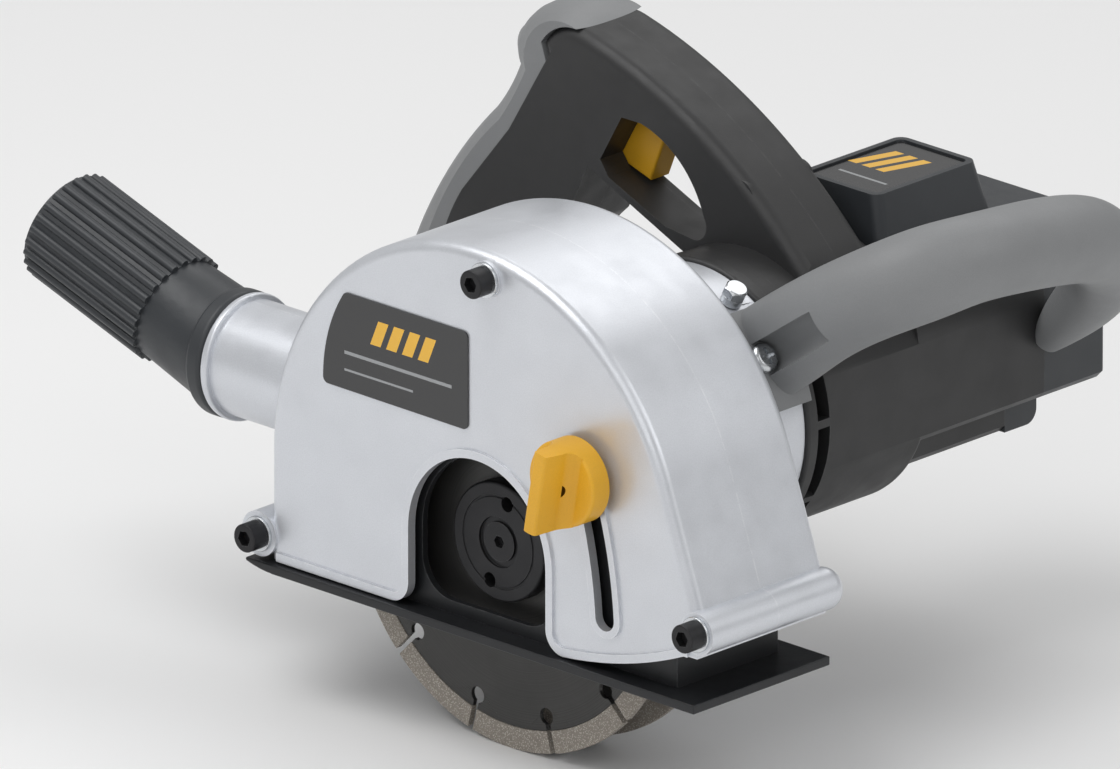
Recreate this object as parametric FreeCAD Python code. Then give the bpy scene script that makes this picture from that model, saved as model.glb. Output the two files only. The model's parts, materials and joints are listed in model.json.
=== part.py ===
import FreeCAD, Part
import math
import os
from FreeCAD import Vector

# Twin-blade wall chaser, millimetres.  +X is the cutting direction's long side, +Y runs from the
# blades to the motor's rear end and +Z is up.  The origin is the middle of the sole's underside at
# the deepest setting, straight below the spindle.

os.makedirs("parts", exist_ok=True)

# ---- blades and spindle ---------------------------------------------------------------------
BLADE_R = 75.0
MAX_DEPTH = 43.0
SPINDLE_Z = BLADE_R - MAX_DEPTH
BLADE_BORE_R = 11.1
BLADE_GAP = 25.0
CORE_T = 1.8
SEGMENT_T = 2.4
SEGMENT_H = 8.0
SEGMENTS = 12
GULLET_PHASE = -14.1
GULLET_HOLE_R = 2.9
GULLET_HOLE_AT = 62.0
GULLET_SLIT = 2.2
FRONT_BLADE_Y = -15.25
REAR_BLADE_Y = FRONT_BLADE_Y + BLADE_GAP
FLANGE_R = 21.2
NUT_Y = -21.75
PIN_HOLE_R = 2.6
PIN_HOLE_PCD = 30.0
PIN_HOLE_ANGLE = 74.5

# ---- guard ----------------------------------------------------------------------------------
GUARD_Y = 31.25
WALL = 2.5
ARC_X = -3.0
ARC_Z = 43.5
ARC_R = 95.0
GUARD_LEFT = -98.0
GUARD_BOTTOM = 4.0
ARC_END_DEG = 20.0
FLANK_LEN = 44.0
ARCH_R = 32.0
CORNER_R = 8.0
LIP = 3.0
LIP_H = 1.0
EDGE_R = 4.0
TOP_SCREW = (4.0, 129.5)
RIGHT_SCREW = (102.0, 28.0)
PIVOT = (-102.0, 12.0)
BOSS_Y = GUARD_Y + LIP_H
SLOT_R = 161.8
SLOT_LOW_DEG = 3.7
SLOT_HIGH_DEG = 21.2
SLOT_HALF = 4.3
PORT_Z = 58.0
PORT_R = 20.5
PORT_BORE_R = 18.0
PORT_END_X = -139.5
RUN_GAP = 0.05

# ---- sole -----------------------------------------------------------------------------------
SOLE_T = 3.3
SOLE_X = (-106.0, 103.0)
SOLE_Y = (-34.75, 31.85)
BLADE_SLOT_X = 76.0
BLADE_SLOT_Y = (-20.5, 15.5)
SHOE_FRONT_Y = (-26.25, -23.75)
SHOE_REAR_Y = (20.25, 22.75)
SHOE_END_X = 87.5
KNUCKLE_R = 7.5
KNUCKLE_HALF = 17.8

# ---- gears and motor ------------------------------------------------------------------------
MODULE = 1.25
PINION_TEETH = 12
GEAR_TEETH = 44
PRESSURE_DEG = 20.0
CENTRES = MODULE * (PINION_TEETH + GEAR_TEETH) / 2.0
MOTOR_X = 14.0
MOTOR_Z = SPINDLE_Z + math.sqrt(CENTRES ** 2 - MOTOR_X ** 2)
GEAR_Y = (40.25, 50.25)
PINION_END_Y = 50.6
CASE_BACK_Y = 61.75
CASE_R = 49.0
CASE_LOBE_R = 31.0
CASE_CAVITY_Y = 38.25
NOSE_R = 25.8
NOSE_Y = 24.25
SEAT_LOBE_Y = 55.25
PLATE_Y = 57.25
PLATE_END_Y = 64.25
RING_R = 50.3
RING_END_Y = 66.75
BAND_R = 49.6
VENT_Y = (67.0, 73.2)
VENTS = 10
VENT_FIRST_DEG = -15.6
VENT_HALF_DEG = 16.3
VENT_FREE_DEG = (40.0, 140.0)
BODY_Y = 73.75
BODY_STEP_Y = 124.0
BODY_END_Y = 182.25
BODY_R = 49.2
BODY_CAVITY_R = 43.2
BODY_WALL = 3.0
BODY_FLAT = 46.3
BODY_LOW_Z = 44.7
BODY_TOP_Z = 104.0
BODY_CORNER_R = 24.0
LEDGE_HALF = 28.0
LEDGE_Z = 28.0
LEDGE_END_Y = 198.0
CAP_END_Y = 212.5
CAP_GRILLES = 6
GLAND_R = 6.0
GLAND_Z = 60.0
GLAND_BORE_R = 4.0
STATOR_Y = (83.75, 119.75)
ARMATURE_Y = (85.25, 119.25)
ARMATURE_R = 23.5
FAN_Y = 65.25
FAN_R = 40.0
BRUSH_Y = 160.0
BRUSH_R = 8.0
BAIL_DEG = 34.5
BAIL_SCREW_Y = 45.5
LOCK_DEG = 62.4
LOCK_Y = 52.75
LOCK_NOTCHES = 12
LOCK_TRAVEL = 3.0
LOCK_HEAD_R = 4.4
LOCK_HEAD_FROM = CASE_R + LOCK_TRAVEL + 0.6
BOX_TOP_Z = 124.4
BOX_Y = (129.25, 179.25)
BOX_X = (MOTOR_X - 18.0, MOTOR_X + 18.0)

# ---- handles and dust adapter ---------------------------------------------------------------
HANDLE_Y = (84.25, 100.75, 117.25)
HANDLE_WALL = 3.2
HANDLE_EDGE = 5.0
ELBOW_TILT_DEG = 18.4
ELBOW_START = (-171.7, 66.7)
SLEEVE_LEN = 55.5
SLEEVE_R = 20.7
SLEEVE_RIBS = 26
HOSE_R = 17.5
HOSE_DEPTH = 40.0

Y_AXIS = Vector(0, 1, 0)


def save(name, *solids):
    """Write one node; several solids stay separate inside it."""
    shape = solids[0]
    if len(solids) > 1:
        shape = Part.makeCompound(list(solids))
    for solid in shape.Solids:
        if not solid.isValid():
            print("invalid solid in", name)
    box = shape.BoundBox
    print(name, len(shape.Solids), "solids", round(shape.Volume), "mm3",
          [round(v, 1) for v in (box.XMin, box.YMin, box.ZMin, box.XMax, box.YMax, box.ZMax)])
    shape.exportStep("parts/" + name + ".step")


def rod(radius, y_from, y_to, x=0.0, z=SPINDLE_Z):
    """Cylinder along Y; it sits on the spindle axis unless told otherwise."""
    return Part.makeCylinder(radius, y_to - y_from, Vector(x, y_from, z), Y_AXIS)


def tube(outer, inner, y_from, y_to, x=0.0, z=SPINDLE_Z):
    return rod(outer, y_from, y_to, x, z).cut(rod(inner, y_from - 1, y_to + 1, x, z))


def motor_rod(radius, y_from, y_to):
    return rod(radius, y_from, y_to, MOTOR_X, MOTOR_Z)


def motor_tube(outer, inner, y_from, y_to):
    return tube(outer, inner, y_from, y_to, MOTOR_X, MOTOR_Z)


def block(x_from, x_to, y_from, y_to, z_from, z_to):
    size = (x_to - x_from, y_to - y_from, z_to - z_from)
    return Part.makeBox(*size, Vector(x_from, y_from, z_from))


def polar(centre, radius, degrees):
    angle = math.radians(degrees)
    return (centre[0] + radius * math.cos(angle), centre[1] + radius * math.sin(angle))


def at(point, y=0.0):
    return Vector(point[0], y, point[1])


def profile(start, *moves):
    """Closed wire in the XZ plane.  A move is an end point, or an arc's middle and end points."""
    edges = []
    here = start
    for move in moves + (start,):
        if isinstance(move[0], tuple):
            edges.append(Part.Arc(at(here), at(move[0]), at(move[1])).toShape())
            here = move[1]
        elif math.dist(here, move) > 1e-6:
            edges.append(Part.LineSegment(at(here), at(move)).toShape())
            here = move
    return Part.Wire(edges)


def slab(wire, y_from, y_to):
    face = Part.Face(wire)
    face.translate(Vector(0, y_from, 0))
    return face.extrude(Vector(0, y_to - y_from, 0))


def curve_slot(centre, radius, low_deg, high_deg, half):
    """Wire of a slot that follows an arc and has round ends."""
    outer_low = polar(centre, radius + half, low_deg)
    inner_high = polar(centre, radius - half, high_deg)
    middle = (low_deg + high_deg) / 2.0
    spread = math.degrees(half / radius)
    return profile(outer_low,
                   (polar(centre, radius + half, middle), polar(centre, radius + half, high_deg)),
                   (polar(centre, radius, high_deg + spread), inner_high),
                   (polar(centre, radius - half, middle), polar(centre, radius - half, low_deg)),
                   (polar(centre, radius, low_deg - spread), outer_low))


def edges_where(shape, test):
    """Edges whose sampled points all pass the test."""
    chosen = []
    for edge in shape.Edges:
        first, last = edge.ParameterRange
        points = [edge.valueAt(first + (last - first) * k / 4.0) for k in range(5)]
        if all(test(p) for p in points):
            chosen.append(edge)
    return chosen


def rounded(shape, radius, test):
    """Fillet the edges that pass the test."""
    edges = edges_where(shape, test)
    if not edges:
        print("no edge to round")
        return shape
    return shape.makeFillet(radius, edges)


def hexagon(across_flats, y_from, y_to, x, z, turn=0.0):
    corner = across_flats / math.sqrt(3.0)
    points = [polar((x, z), corner, turn + 60 * k) for k in range(6)]
    return slab(profile(*points), y_from, y_to)


def cap_screw(point, y_seat, y_tip, shank_r=3.0):
    """Socket cap screw pointing along +Y, its head in front of the seat."""
    x, z = point
    head = rod(5.0, y_seat - 6.0, y_seat, x, z)
    head = rounded(head, 0.6, lambda p: abs(p.y - (y_seat - 6.0)) < 1e-3)
    screw = head.fuse(rod(shank_r, y_seat - 0.5, y_tip, x, z))
    return screw.cut(hexagon(5.0, y_seat - 7.0, y_seat - 3.0, x, z, 10.0)).removeSplitter()


def pan_screw(base, outward, shank_len, head_r=5.2, shank_r=2.2):
    """Pan head screw with a cross recess; base is the seat, outward points to the head."""
    head = Part.makeCylinder(head_r, 3.4, base, outward)
    top = [e for e in head.Edges if (e.CenterOfMass - base).dot(outward) > 3.3]
    head = head.makeFillet(2.4, [e for e in top if e.Length > 10])
    shank = Part.makeCylinder(shank_r, shank_len + 0.5, base - outward * shank_len, outward)
    screw = head.fuse(shank)
    side = outward.cross(Vector(0.3, 1, 0.2)).normalize()
    other = outward.cross(side).normalize()
    for direction in (side, other):
        third = outward.cross(direction)
        bar = Part.makeBox(6.0, 1.2, 3.0, Vector(-3, -0.6, 0))
        matrix = FreeCAD.Matrix(direction.x, third.x, outward.x, 0, direction.y, third.y, outward.y, 0,
                                direction.z, third.z, outward.z, 0, 0, 0, 0, 1)
        bar = bar.transformGeometry(matrix)
        bar.translate(base + outward * 1.6)
        screw = screw.cut(bar)
    return screw


# ---- guard ----------------------------------------------------------------------------------
def guard_outline(inset, bottom):
    centre = (ARC_X, ARC_Z)
    radius = ARC_R - inset
    left = GUARD_LEFT + inset
    arc_end = polar(centre, radius, ARC_END_DEG)
    slope = math.radians(ARC_END_DEG)
    flank_end = (arc_end[0] + FLANK_LEN * math.sin(slope), arc_end[1] - FLANK_LEN * math.cos(slope))
    return profile((left, bottom), (left, ARC_Z), (polar(centre, radius, 100), arc_end), flank_end,
                   (flank_end[0], bottom))


def below_guard(with_arch):
    """Everything under the guard's lower edge; with the arch it opens round the flange nut too."""
    deep = -60.0
    moves = [(-125, GUARD_BOTTOM)]
    if with_arch:
        side = ARCH_R + CORNER_R
        diag = CORNER_R * math.sqrt(0.5)
        foot = GUARD_BOTTOM + CORNER_R
        moves += [(-side, GUARD_BOTTOM), ((-side + diag, foot - diag), (-ARCH_R, foot)),
                  (-ARCH_R, SPINDLE_Z), ((0, SPINDLE_Z + ARCH_R), (ARCH_R, SPINDLE_Z)),
                  (ARCH_R, foot), ((side - diag, foot - diag), (side, GUARD_BOTTOM))]
    else:
        moves += [(ARCH_R + CORNER_R, GUARD_BOTTOM)]
    moves += [((70, 9.3), (96, 18.5)), (130, 18.5), (130, deep)]
    return profile((-125, deep), *moves)


def guard_half(front):
    """One half of the casting: plate, rim, bosses and its half of the dust port."""
    y_plate = -GUARD_Y if front else GUARD_Y
    inner_plate = y_plate + (WALL if front else -WALL)
    low, high = sorted((y_plate, 0.0))
    shell = slab(guard_outline(0.0, -10.0), low, high)
    shell = rounded(shell, EDGE_R, lambda p: abs(p.y - y_plate) < 1e-3 and p.z > -9.9)
    low, high = sorted((inner_plate, 1.0 if front else -1.0))
    hollow = slab(guard_outline(WALL, -30.0), low, high)
    shell = shell.cut(hollow).cut(slab(below_guard(front), -60, 60))

    y_boss = -BOSS_Y if front else GUARD_Y
    low, high = sorted((y_boss, 0.0))
    shell = shell.fuse(rod(6.5, low, high, *TOP_SCREW))
    right = rod(7.5, low, high if front else GUARD_Y + 3.5, *RIGHT_SCREW)
    if not front:
        right = rounded(right, 6.0, lambda p: abs(p.y - (GUARD_Y + 3.5)) < 1e-3)
    shell = shell.fuse(right)
    low, high = sorted((y_boss, math.copysign(KNUCKLE_HALF + 0.5, y_boss)))
    shell = shell.fuse(rod(8.0, low, high, *PIVOT))
    notch_y = KNUCKLE_HALF + 0.5
    shell = shell.cut(block(-125, -93, -notch_y, notch_y, -20, PIVOT[1] + 10.0))

    port_x = Vector(1, 0, 0)
    port = Part.makeCylinder(PORT_R, 48.0, Vector(PORT_END_X, 0, PORT_Z), port_x)
    bead = Part.makeCylinder(22.4, 3.0, Vector(PORT_END_X, 0, PORT_Z), port_x)
    bead = rounded(bead, 1.0, lambda p: abs(p.x - PORT_END_X) < 1e-3 or abs(p.x - PORT_END_X - 3) < 1e-3)
    port = port.fuse(bead)
    half = block(-150, 0, -40, 0, 0, 100) if front else block(-150, 0, 0, 40, 0, 100)
    past_wall = slab(guard_outline(WALL, -30.0), -40, 40)
    port = port.common(half).cut(past_wall)
    shell = shell.fuse(port)
    shell = shell.cut(Part.makeCylinder(PORT_BORE_R, 60.0, Vector(PORT_END_X - 1, 0, PORT_Z), port_x))
    return shell


def guard_cover():
    cover = guard_half(front=True)
    edge_band = below_guard(True).makeOffset2D(LIP)
    lip = slab(edge_band, -BOSS_Y, -GUARD_Y + 0.5).cut(slab(below_guard(True), -60, 60))
    lip = lip.common(slab(guard_outline(EDGE_R, -10.0), -60, 0))
    cover = cover.fuse(lip)
    lip = slab(curve_slot(PIVOT, SLOT_R, SLOT_LOW_DEG, SLOT_HIGH_DEG, SLOT_HALF + 2.6),
               -BOSS_Y, -GUARD_Y + 0.5)
    cover = cover.fuse(lip)
    cover = cover.cut(slab(curve_slot(PIVOT, SLOT_R, SLOT_LOW_DEG, SLOT_HIGH_DEG, SLOT_HALF), -60, -20))
    for point in (TOP_SCREW, RIGHT_SCREW, PIVOT):
        cover = cover.cut(rod(3.0, -60, 1, *point))
    return cover.removeSplitter()


def guard_rear():
    rear = guard_half(front=False)
    rear = rear.cut(rod(NOSE_R, 0, 60))
    for point in (TOP_SCREW, RIGHT_SCREW, PIVOT):
        rear = rear.cut(rod(3.0, -1, GUARD_Y - 3.0, *point))
    return rear.removeSplitter()


WASHER_T = 1.2
SEAT_Y = -BOSS_Y - WASHER_T


def guard_fasteners():
    save("guard_screws", cap_screw(TOP_SCREW, SEAT_Y, 22.0), cap_screw(RIGHT_SCREW, SEAT_Y, 22.0))
    save("pivot_bolt", cap_screw(PIVOT, SEAT_Y, GUARD_Y - 3.5))
    washers = [tube(6.2, 3.0, -BOSS_Y - WASHER_T, -BOSS_Y, *p) for p in (TOP_SCREW, RIGHT_SCREW, PIVOT)]
    save("guard_washers", *washers)


def front_label():
    """Thin plate stuck on the guard's face, narrower at its slanted left side."""
    plate = slab(profile((-72, 74), ((-69.5, 93), (-62, 108.5)), (-4.5, 108.5), (-4.5, 73.5)),
                 -GUARD_Y - 0.6, -GUARD_Y)
    upright = lambda p: abs(p.y + GUARD_Y + 0.3) < 0.31
    corners = [e for e in edges_where(plate, upright) if abs(e.Length - 0.6) < 1e-3]
    return plate.makeFillet(2.2, corners)


# ---- sole -----------------------------------------------------------------------------------
def sole_plate():
    """Steel sole with its blade window, curled nose and hinge knuckle."""
    plate = block(*SOLE_X, *SOLE_Y, 0, SOLE_T)
    nose = profile((SOLE_X[0] - 1, -1), (SOLE_X[0] - 1, 2.2), (SOLE_X[0], 2.2),
                   ((SOLE_X[0] + 5.5, 0.75), (SOLE_X[0] + 12, 0)), (SOLE_X[0] + 12, -1))
    plate = plate.cut(slab(nose, -60, 60))
    window = block(-BLADE_SLOT_X, BLADE_SLOT_X, *BLADE_SLOT_Y, -1, SOLE_T + 1)
    window = rounded(window, 5.0, lambda p: abs(abs(p.x) - BLADE_SLOT_X) < 1e-3
                     and (abs(p.y - BLADE_SLOT_Y[0]) < 1e-3 or abs(p.y - BLADE_SLOT_Y[1]) < 1e-3))
    plate = plate.cut(window)
    knuckle = rod(KNUCKLE_R, -KNUCKLE_HALF, KNUCKLE_HALF, *PIVOT)
    web = block(SOLE_X[0] + 1, -95.5, -KNUCKLE_HALF, KNUCKLE_HALF, SOLE_T - 0.3, PIVOT[1] - 2)
    plate = plate.fuse([knuckle, web])
    return plate.cut(rod(3.0 + RUN_GAP, -60, 60, *PIVOT)).removeSplitter()


def shoe_bracket():
    """Sheet metal bracket standing on the sole beside the blades; the clamp holds it."""
    foot = SOLE_T
    front = slab(profile((-90, foot), (-90, 24), ((-74, 55), (-45, 73)), ((8, 88), (57, 81)),
                         ((76, 66), (SHOE_END_X, 42)), (SHOE_END_X, foot)), *SHOE_FRONT_Y)
    arch = profile((-31, SPINDLE_Z), ((0, SPINDLE_Z + 31), (31, SPINDLE_Z)), (31, 22),
                   ((27, 12), (17, 8)), (-17, 8), ((-27, 12), (-31, 22)))
    front = front.cut(slab(arch, -30, -20))
    rear = slab(profile((-90, foot), (-90, 24), ((-78, 44), (-60, 56)), (-42, 56), (-42, 40),
                        ((-31, 20), (-8, 12)), ((18, 20), (29, 40)), (29, 62), (60, 62),
                        ((78, 54), (SHOE_END_X, 42)), (SHOE_END_X, foot)), *SHOE_REAR_Y)
    end = block(SHOE_END_X - WALL, SHOE_END_X, SHOE_FRONT_Y[0], SHOE_REAR_Y[1], foot, 42)
    bracket = front.fuse([rear, end])
    return bracket.cut(rod(4.0, -30, -20, *CLAMP)).removeSplitter()


CLAMP = polar(PIVOT, SLOT_R, SLOT_HIGH_DEG)
CLAMP_WASHER_Y = (-34.1, -32.5)
KNOB_BACK_Y = -34.4
KNOB_DISC_Y = -42.4
KNOB_TOP_Y = -55.25
KNOB_R = 15.0
KNOB_TURN = 80.0


def clamp_bolt():
    head = hexagon(13.0, SHOE_FRONT_Y[1], SHOE_FRONT_Y[1] + 3.4, *CLAMP)
    return head.fuse(rod(4.0, -44.0, SHOE_FRONT_Y[1] + 0.5, *CLAMP)).removeSplitter()


def depth_knob():
    """Round knob with a tall grip bar whose sides are scooped."""
    x, z = CLAMP
    disc = rounded(rod(KNOB_R, KNOB_DISC_Y, KNOB_BACK_Y, x, z), 1.2, lambda p: abs(p.y - KNOB_DISC_Y) < 1e-3)
    top = 2.75
    base = 7.5
    points = [Vector(-base, KNOB_DISC_Y + 1, 0), Vector(-base, KNOB_DISC_Y, 0),
              Vector(-top - 0.9, KNOB_DISC_Y - 5.0, 0), Vector(-top, KNOB_TOP_Y, 0),
              Vector(top, KNOB_TOP_Y, 0), Vector(top + 0.9, KNOB_DISC_Y - 5.0, 0),
              Vector(base, KNOB_DISC_Y, 0), Vector(base, KNOB_DISC_Y + 1, 0)]
    edges = [Part.LineSegment(points[0], points[1]).toShape(),
             Part.Arc(points[1], Vector(-4.6, KNOB_DISC_Y - 1.9, 0), points[2]).toShape(),
             Part.LineSegment(points[2], points[3]).toShape(),
             Part.LineSegment(points[3], points[4]).toShape(),
             Part.LineSegment(points[4], points[5]).toShape(),
             Part.Arc(points[5], Vector(4.6, KNOB_DISC_Y - 1.9, 0), points[6]).toShape(),
             Part.LineSegment(points[6], points[7]).toShape(),
             Part.LineSegment(points[7], points[0]).toShape()]
    bar = Part.Face(Part.Wire(edges)).extrude(Vector(0, 0, 2 * KNOB_R))
    bar = rounded(bar, 1.0, lambda p: abs(p.y - KNOB_TOP_Y) < 1e-3 and abs(abs(p.x) - top) < 1e-3)
    bar.translate(Vector(0, 0, -KNOB_R))
    bar.rotate(Vector(0, 0, 0), Y_AXIS, 90.0 - KNOB_TURN)
    bar.translate(Vector(x, 0, z))
    bar = bar.common(rod(KNOB_R, KNOB_TOP_Y, KNOB_DISC_Y + 1, x, z))
    knob = disc.fuse(bar)
    knob = knob.cut(hexagon(13.0, -41.0, KNOB_BACK_Y + 1, x, z))
    return knob.cut(rod(4.4, -46.0, -40.0, x, z)).removeSplitter()


def knob_nut():
    return hexagon(13.0, -41.0, KNOB_BACK_Y, *CLAMP).cut(rod(4.0 + RUN_GAP, -50, -30, *CLAMP))


# ---- blades ---------------------------------------------------------------------------------
def gullets(y_mid):
    """Keyhole cuts: a round hole with a slit that runs out through the rim."""
    cuts = []
    for k in range(SEGMENTS):
        angle = GULLET_PHASE + 360.0 / SEGMENTS * k
        hole = rod(GULLET_HOLE_R, y_mid - 3, y_mid + 3, *polar((0, SPINDLE_Z), GULLET_HOLE_AT, angle))
        slit = block(GULLET_HOLE_AT, BLADE_R + 3, y_mid - 3, y_mid + 3,
                     SPINDLE_Z - GULLET_SLIT / 2, SPINDLE_Z + GULLET_SLIT / 2)
        slit.rotate(Vector(0, 0, SPINDLE_Z), Y_AXIS, -angle)
        cuts += [hole, slit]
    return cuts


def blade(y_mid):
    """Core disc and its twelve separate diamond segments."""
    rim = BLADE_R - SEGMENT_H
    cuts = gullets(y_mid)
    core = tube(rim, BLADE_BORE_R, y_mid - CORE_T / 2, y_mid + CORE_T / 2).cut(cuts)
    band = tube(BLADE_R, rim, y_mid - SEGMENT_T / 2, y_mid + SEGMENT_T / 2).cut(cuts)
    return core, band.Solids


def spindle_parts():
    front_core, front_segments = blade(FRONT_BLADE_Y)
    rear_core, rear_segments = blade(REAR_BLADE_Y)
    save("front_blade_core", front_core)
    save("front_blade_segments", *front_segments)
    save("rear_blade_core", rear_core)
    save("rear_blade_segments", *rear_segments)

    nut_back = FRONT_BLADE_Y - CORE_T / 2
    nut = rounded(rod(FLANGE_R, NUT_Y, nut_back), 1.0, lambda p: abs(p.y - NUT_Y) < 1e-3)
    nut = nut.cut(tube(FLANGE_R - 4.5, FLANGE_R - 5.3, NUT_Y - 1, NUT_Y + 0.5))
    nut = nut.cut(rod(9.0, NUT_Y - 1, NUT_Y + 1.2)).cut(rod(7.0, NUT_Y - 1, nut_back + 1))
    for turn in (0, 180):
        nut = nut.cut(rod(PIN_HOLE_R, NUT_Y - 1, nut_back + 1,
                          *polar((0, SPINDLE_Z), PIN_HOLE_PCD / 2, PIN_HOLE_ANGLE + turn)))
    save("outer_flange_nut", nut)

    inner_from = REAR_BLADE_Y + CORE_T / 2
    sleeve = tube(BLADE_BORE_R - RUN_GAP, 7.0, nut_back + 0.3, inner_from + 4.5)
    save("arbor_sleeve", sleeve)
    save("blade_spacer", tube(20.0, BLADE_BORE_R, FRONT_BLADE_Y + CORE_T / 2, REAR_BLADE_Y - CORE_T / 2))
    flange = rod(FLANGE_R, inner_from, inner_from + 3.6).fuse(rod(14.0, inner_from, inner_from + 6.0))
    flange = rounded(flange, 0.8, lambda p: abs(p.y - inner_from - 3.6) < 1e-3
                     and math.hypot(p.x, p.z - SPINDLE_Z) > 20)
    flange = flange.cut(rod(BLADE_BORE_R - RUN_GAP, inner_from - 1, inner_from + 4.5))
    save("inner_flange", flange.cut(rod(7.0, 0, 40)).removeSplitter())

    shaft = rod(7.0, NUT_Y + 0.4, 20.0).fuse(rod(8.5, inner_from + 6.0, 38.25))
    shaft = shaft.fuse(rod(9.0, CASE_CAVITY_Y, 52.0)).fuse(rod(5.0, 52.0, 61.25))
    shaft = shaft.cut(Part.makeCone(2.0, 0.6, 3.0, Vector(0, NUT_Y + 0.4, SPINDLE_Z), Y_AXIS))
    shaft = shaft.cut(hexagon(4.0, NUT_Y, NUT_Y + 2.4, 0, SPINDLE_Z))
    save("spindle_shaft", shaft.removeSplitter())


def involute(angle):
    return math.tan(angle) - angle


def gear_wire(centre, teeth, tip_r, root_r, turn_deg):
    """Spur gear outline with slightly thinned teeth; one tooth is centred on the turn angle."""
    pitch_r = MODULE * teeth / 2.0
    pressure = math.radians(PRESSURE_DEG)
    base_r = pitch_r * math.cos(pressure)
    thinning = 0.10 / pitch_r
    start_r = max(base_r, root_r) + 0.02
    flank = [start_r + (tip_r - start_r) * k / 3.0 for k in range(4)]

    def half_angle(radius):
        working = math.acos(base_r / radius)
        return math.pi / (2 * teeth) - thinning + involute(pressure) - involute(working)

    points = []
    for k in range(teeth):
        middle = math.radians(turn_deg) + 2 * math.pi * k / teeth
        side = [(root_r, half_angle(start_r))] + [(r, half_angle(r)) for r in flank]
        for radius, half in side:
            points.append(polar(centre, radius, math.degrees(middle - half)))
        for radius, half in reversed(side):
            points.append(polar(centre, radius, math.degrees(middle + half)))
    return profile(*points)


GEAR_TIP = MODULE * GEAR_TEETH / 2.0 + 0.7
PINION_TIP = MODULE * PINION_TEETH / 2.0 + MODULE
TIP_GAP = 0.3
CENTRE_DEG = math.degrees(math.atan2(MOTOR_Z - SPINDLE_Z, MOTOR_X))


def drive_gear():
    wire = gear_wire((0, SPINDLE_Z), GEAR_TEETH, GEAR_TIP, CENTRES - PINION_TIP - TIP_GAP, CENTRE_DEG)
    gear = slab(wire, *GEAR_Y)
    for y_from in (GEAR_Y[0] - 1, GEAR_Y[1] - 2.5):
        gear = gear.cut(tube(21.5, 14.0, y_from, y_from + 3.5))
    return gear.cut(rod(9.0, 30, 60))


# ---- motor ----------------------------------------------------------------------------------
def motor_shaft():
    root_r = CENTRES - GEAR_TIP - TIP_GAP
    back = CENTRE_DEG + 180.0 + 180.0 / PINION_TEETH
    teeth = slab(gear_wire((MOTOR_X, MOTOR_Z), PINION_TEETH, PINION_TIP, root_r, back), 39.25, PINION_END_Y)
    shaft = teeth.fuse(motor_rod(6.0, PINION_END_Y, 150.0)).fuse(motor_rod(4.0, 150.0, 180.0))
    return shaft.removeSplitter()


def lock_disc():
    disc = motor_tube(16.0, 6.0, LOCK_Y - 2.0, LOCK_Y + 2.0)
    for k in range(LOCK_NOTCHES):
        notch = block(11.5, 18, LOCK_Y - 3, LOCK_Y + 3, -1.7, 1.7)
        notch.rotate(Vector(0, 0, 0), Y_AXIS, -(LOCK_DEG + 360.0 / LOCK_NOTCHES * k))
        notch.translate(Vector(MOTOR_X, 0, MOTOR_Z))
        disc = disc.cut(notch)
    return disc


def armature_core():
    core = motor_tube(ARMATURE_R, 6.0, *ARMATURE_Y)
    slots = 18
    for k in range(slots):
        spot = polar((MOTOR_X, MOTOR_Z), 19.5, 360.0 / slots * k)
        groove = rod(1.5, ARMATURE_Y[0] - 1, ARMATURE_Y[1] + 1, *spot)
        mouth = block(19.5, 25, ARMATURE_Y[0] - 1, ARMATURE_Y[1] + 1, -0.6, 0.6)
        mouth.rotate(Vector(0, 0, 0), Y_AXIS, -360.0 / slots * k)
        mouth.translate(Vector(MOTOR_X, 0, MOTOR_Z))
        core = core.cut([groove, mouth])
    return core


def rotor_parts():
    save("motor_shaft", motor_shaft())
    save("lock_disc", lock_disc())
    save("armature_core", armature_core())
    coils = [rounded(motor_tube(21.5, 6.0, y, y + 10.0), 3.0,
                     lambda p: math.hypot(p.x - MOTOR_X, p.z - MOTOR_Z) > 21)
             for y in (ARMATURE_Y[0] - 10.0, ARMATURE_Y[1])]
    save("armature_windings", *coils)
    commutator = motor_tube(13.0, 4.0, 151.0, 169.0)
    bars = 18
    for k in range(bars):
        gap = block(12.2, 14, 152.5, 170, -0.25, 0.25)
        gap.rotate(Vector(0, 0, 0), Y_AXIS, -360.0 / bars * k)
        gap.translate(Vector(MOTOR_X, 0, MOTOR_Z))
        commutator = commutator.cut(gap)
    save("commutator", commutator)
    fan = motor_tube(FAN_R, 6.0, FAN_Y, FAN_Y + 1.8).fuse(motor_tube(11.0, 6.0, FAN_Y, FAN_Y + 9.0))
    blades = 13
    for k in range(blades):
        vane = block(13.0, 39.0, FAN_Y + 1.5, FAN_Y + 7.5, -0.8, 0.8)
        vane.rotate(Vector(13, 0, 0), Y_AXIS, 22)
        vane.rotate(Vector(0, 0, 0), Y_AXIS, -360.0 / blades * k)
        vane.translate(Vector(MOTOR_X, 0, MOTOR_Z))
        fan = fan.fuse(vane)
    room = motor_tube(FAN_R, 6.0, FAN_Y - 1, FAN_Y + 10)
    save("fan", fan.common(room).removeSplitter())


# bearings: outer radius, bore radius, first and last Y; the mid radius is where the rings run
SPINDLE_BEARINGS = ((20.0, 8.5, 26.25, 38.25), (15.0, 5.0, 55.5, 61.0))
MOTOR_BEARINGS = ((14.0, 6.0, 57.5, 63.75), (11.0, 4.0, 171.0, 178.0))


def bearing_rings(bearings, x, z):
    outer, inner = [], []
    for big, small, y_from, y_to in bearings:
        middle = (big + small) / 2.0
        outer.append(tube(big, middle + RUN_GAP, y_from, y_to, x, z))
        inner.append(tube(middle, small, y_from, y_to, x, z))
    return outer, inner


# ---- gear case and motor housing ------------------------------------------------------------
def case_pair(motor_r, spindle_r, y_from, y_to, lobe_from=None):
    """Two merged discs: one about the motor axis and one about the spindle."""
    lobe_from = y_from if lobe_from is None else lobe_from
    return motor_rod(motor_r, y_from, y_to).fuse(rod(spindle_r, lobe_from, y_to))


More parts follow.
